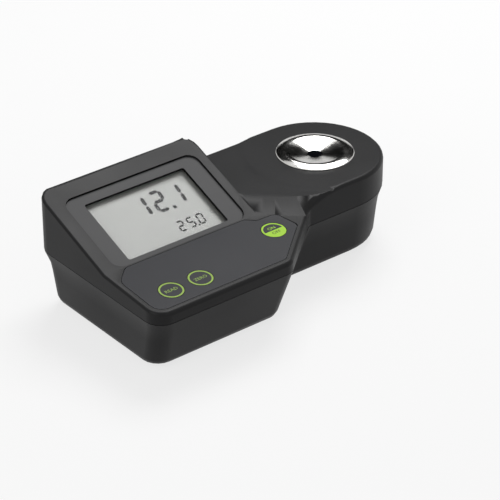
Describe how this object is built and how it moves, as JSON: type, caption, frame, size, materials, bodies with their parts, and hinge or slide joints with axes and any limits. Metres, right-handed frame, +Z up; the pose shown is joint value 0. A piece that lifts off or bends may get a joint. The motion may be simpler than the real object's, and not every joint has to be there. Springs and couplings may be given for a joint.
{
  "type": "digital refractometer",
  "caption": "Bench refractometer: dark plastic case with a tilted display, a flat key pad and a round head with a steel sample dish over a prism.",
  "frame": {"origin": "centre of the object's outline at the level of the feet's undersides", "axes": "+X along the case from the display end to the round head, +Y to the rear, +Z up"},
  "size_m": [0.192, 0.103, 0.0646],
  "materials": {
    "case_plastic": "black, fine moulded grain",
    "bezel_plastic": "dark grey, satin",
    "overlay_film": "printed film, satin",
    "inner_plastic": "black",
    "white_plastic": "white",
    "circuit_board": "green solder mask",
    "black_rubber": "black",
    "screw_steel": "zinc plated",
    "polished_steel": "polished stainless steel",
    "clear_pane": "clear",
    "prism_glass": "polished",
    "display_glass": "grey liquid crystal glass",
    "battery_can": "plain can"
  },
  "bodies": {
    "case": {"battery": "battery_can", "battery_contacts": "circuit_board", "battery_lead_1": "black_rubber", "battery_lead_2": "black_rubber", "board_screw_1": "screw_steel", "board_screw_2": "screw_steel", "board_screw_3": "screw_steel", "board_screw_4": "screw_steel", "case_gasket": "black_rubber", "case_screw_1": "screw_steel", "case_screw_2": "screw_steel", "case_screw_3": "screw_steel", "case_screw_4": "screw_steel", "case_screw_5": "screw_steel", "case_screw_6": "screw_steel", "display_bezel": "bezel_plastic", "display_window": "clear_pane", "foot_front_left": "black_rubber", "foot_head_front": "black_rubber", "foot_head_rear": "black_rubber", "foot_rear_left": "black_rubber", "image_sensor": "inner_plastic", "keypad_board": "circuit_board", "keypad_overlay": "overlay_film", "keypad_screw_1": "screw_steel", "keypad_screw_2": "screw_steel", "lcd_contact_strip": "black_rubber", "lcd_glass": "display_glass", "lcd_holder": "inner_plastic", "lens": "clear_pane", "light_source": "white_plastic", "lower_case": "case_plastic", "main_board": "circuit_board", "optics_block": "inner_plastic", "optics_screw_1": "screw_steel", "optics_screw_2": "screw_steel", "power_switch": "inner_plastic", "prism": "prism_glass", "prism_seal": "black_rubber", "processor": "inner_plastic", "read_switch": "inner_plastic", "ribbon_cable": "white_plastic", "sample_dish": "polished_steel", "sensor_board": "circuit_board", "sensor_cable": "black_rubber", "temperature_probe": "screw_steel", "upper_case": "case_plastic", "zero_switch": "inner_plastic"},
    "read_button": {"read_key": "overlay_film", "read_plunger": "white_plastic"},
    "zero_button": {"zero_key": "overlay_film", "zero_plunger": "white_plastic"},
    "power_button": {"power_key": "overlay_film", "power_plunger": "white_plastic"},
    "cover_seal": {"battery_cover_seal": "black_rubber"},
    "cover": {"battery_cover": "case_plastic"}
  },
  "joints": [
    {"name": "read_press", "type": "slide", "parent": "case", "child": "read_button", "axis": [0, 0.0698, -0.9976], "range_m": [0, 0.0004], "stiffness_N_per_m": 3000, "springref_m": -0.0003},
    {"name": "zero_press", "type": "slide", "parent": "case", "child": "zero_button", "axis": [0, 0.0698, -0.9976], "range_m": [0, 0.0004], "stiffness_N_per_m": 3000, "springref_m": -0.0003},
    {"name": "power_press", "type": "slide", "parent": "case", "child": "power_button", "axis": [0, 0.0698, -0.9976], "range_m": [0, 0.0004], "stiffness_N_per_m": 3000, "springref_m": -0.0003},
    {"name": "battery_cover_out", "type": "slide", "parent": "case", "child": "cover_seal", "axis": [0, 0, -1], "range_m": [0, 0.03]},
    {"name": "battery_cover_turn", "type": "hinge", "parent": "cover_seal", "child": "cover", "pos_m": [-0.044, 0.0025, 0.0015], "axis": [0, 0, 1], "range_deg": [0, 45]}
  ]
}
